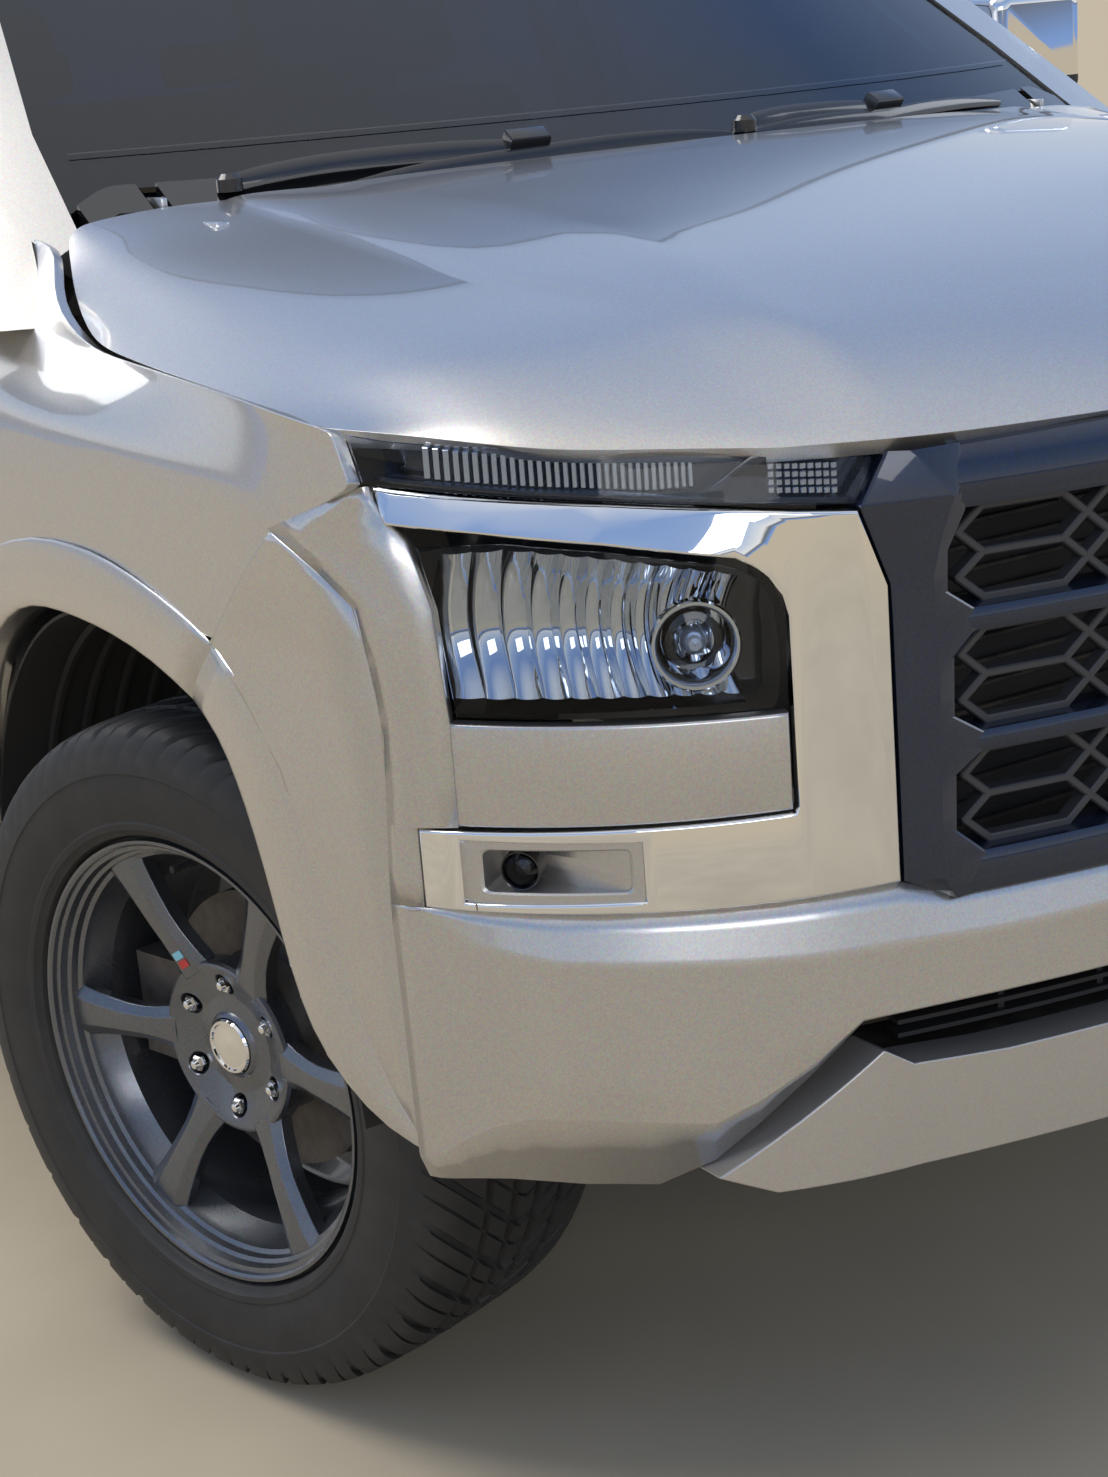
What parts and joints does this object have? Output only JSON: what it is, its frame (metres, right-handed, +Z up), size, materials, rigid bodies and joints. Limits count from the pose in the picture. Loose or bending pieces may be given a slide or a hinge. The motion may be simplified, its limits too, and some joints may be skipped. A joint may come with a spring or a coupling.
{
  "type": "double cab pickup truck",
  "caption": "Double cab pickup truck with hollow cab, open load bed, ladder frame, opening doors, hood and tailgate, steering front wheels and rolling wheels.",
  "frame": {"origin": "on the ground under the middle of the truck's overall box", "axes": "+X to the truck's left, +Y to its rear along its length, +Z up"},
  "size_m": [2.17, 5.334, 1.7949],
  "materials": {
    "body_paint": "silver metallic paint, fine flake",
    "chrome": "bright chrome",
    "grille_black": "gloss dark blue-black",
    "mesh_grey": "satin dark grey",
    "trim_black": "satin black, grained",
    "glass_tint": "dark tinted glass",
    "lamp_clear": "clear lamp lens",
    "lamp_red": "red lamp lens",
    "silver_trim": "satin silver paint",
    "wheel_grey": "gunmetal paint",
    "tyre": "black rubber",
    "iron": "bare iron, light rust",
    "frame_black": "black chassis paint",
    "alloy": "cast alloy",
    "seat_fabric": "black seat cloth"
  },
  "bodies": {
    "chassis": {"cab_shell": "body_paint", "windscreen": "glass_tint", "rear_window": "glass_tint", "cowl": "trim_black", "front_fenders": "body_paint", "front_bumper": "body_paint", "skid_plate": "silver_trim", "grille_surround": "grille_black", "grille_mesh": "mesh_grey", "chrome_trims": "chrome", "strip_lamps": "lamp_clear", "headlamps": "lamp_clear", "fog_bezels": "silver_trim", "fog_lamps": "lamp_clear", "radiator": "alloy", "load_bed": "body_paint", "tail_lamps": "lamp_red", "rear_bumper": "chrome", "ladder_frame": "frame_black", "engine": "alloy", "gearbox": "alloy", "exhaust": "iron", "spare_wheel": "tyre", "propeller_shaft": "frame_black", "fuel_tank": "trim_black", "rear_axle": "iron", "leaf_springs": "iron", "front_suspension": "frame_black", "front_arch_liners": "trim_black", "front_seats": "seat_fabric", "rear_bench": "seat_fabric", "dashboard": "trim_black", "steering_wheel": "trim_black", "wipers": "trim_black"},
    "hood": {"hood": "body_paint"},
    "tailgate": {"tailgate": "body_paint"},
    "front_door_body_right": {"front_door_right": "body_paint", "front_door_glass_right": "glass_tint", "mirror_right": "chrome"},
    "rear_door_body_right": {"rear_door_right": "body_paint", "rear_door_glass_right": "glass_tint"},
    "steering_body_right": {"knuckle_right": "iron"},
    "wheel_body_front_right": {"rim_front_right": "wheel_grey", "tyre_front_right": "tyre", "brake_disc_front_right": "iron"},
    "wheel_body_rear_right": {"rim_rear_right": "wheel_grey", "tyre_rear_right": "tyre"},
    "front_door_body_left": {"front_door_left": "body_paint", "front_door_glass_left": "glass_tint", "mirror_left": "chrome"},
    "rear_door_body_left": {"rear_door_left": "body_paint", "rear_door_glass_left": "glass_tint"},
    "steering_body_left": {"knuckle_left": "iron"},
    "wheel_body_front_left": {"rim_front_left": "wheel_grey", "tyre_front_left": "tyre", "brake_disc_front_left": "iron"},
    "wheel_body_rear_left": {"rim_rear_left": "wheel_grey", "tyre_rear_left": "tyre"}
  },
  "joints": [
    {"name": "steer_right", "type": "hinge", "parent": "chassis", "child": "steering_body_right", "pos_m": [-0.705, -1.773, 0.37], "axis": [0, 0, 1], "range_deg": [-50.4, 19.6]},
    {"name": "roll_front_right", "type": "hinge", "parent": "steering_body_right", "child": "wheel_body_front_right", "pos_m": [-0.78213, -1.79424, 0.37], "axis": [0.9641, 0.2656, 0], "continuous": true},
    {"name": "roll_rear_right", "type": "hinge", "parent": "chassis", "child": "wheel_body_rear_right", "pos_m": [-0.785, 1.357, 0.37], "axis": [1, 0, 0], "continuous": true},
    {"name": "front_door_swing_right", "type": "hinge", "parent": "chassis", "child": "front_door_body_right", "pos_m": [-0.932, -1.133, 0.9], "axis": [0, 0, 1], "range_deg": [0, 68]},
    {"name": "rear_door_swing_right", "type": "hinge", "parent": "chassis", "child": "rear_door_body_right", "pos_m": [-0.932, -0.153, 0.9], "axis": [0, 0, 1], "range_deg": [0, 68]},
    {"name": "steer_left", "type": "hinge", "parent": "chassis", "child": "steering_body_left", "pos_m": [0.705, -1.773, 0.37], "axis": [0, 0, 1], "range_deg": [-50.4, 19.6]},
    {"name": "roll_front_left", "type": "hinge", "parent": "steering_body_left", "child": "wheel_body_front_left", "pos_m": [0.78213, -1.75176, 0.37], "axis": [0.9641, 0.2656, 0], "continuous": true},
    {"name": "roll_rear_left", "type": "hinge", "parent": "chassis", "child": "wheel_body_rear_left", "pos_m": [0.785, 1.357, 0.37], "axis": [1, 0, 0], "continuous": true},
    {"name": "front_door_swing_left", "type": "hinge", "parent": "chassis", "child": "front_door_body_left", "pos_m": [0.932, -1.133, 0.9], "axis": [0, 0, -1], "range_deg": [0, 68]},
    {"name": "rear_door_swing_left", "type": "hinge", "parent": "chassis", "child": "rear_door_body_left", "pos_m": [0.932, -0.153, 0.9], "axis": [0, 0, -1], "range_deg": [0, 68]},
    {"name": "hood_lift", "type": "hinge", "parent": "chassis", "child": "hood", "pos_m": [0, -1.438, 1.22], "axis": [-1, 0, 0], "range_deg": [0, 52]},
    {"name": "tailgate_drop", "type": "hinge", "parent": "chassis", "child": "tailgate", "pos_m": [0, 2.548, 0.659], "axis": [-1, 0, 0], "range_deg": [0, 88]}
  ],
  "couplings": [
    {"joint": "steer_left", "follows": "steer_right", "ratio": 1}
  ]
}
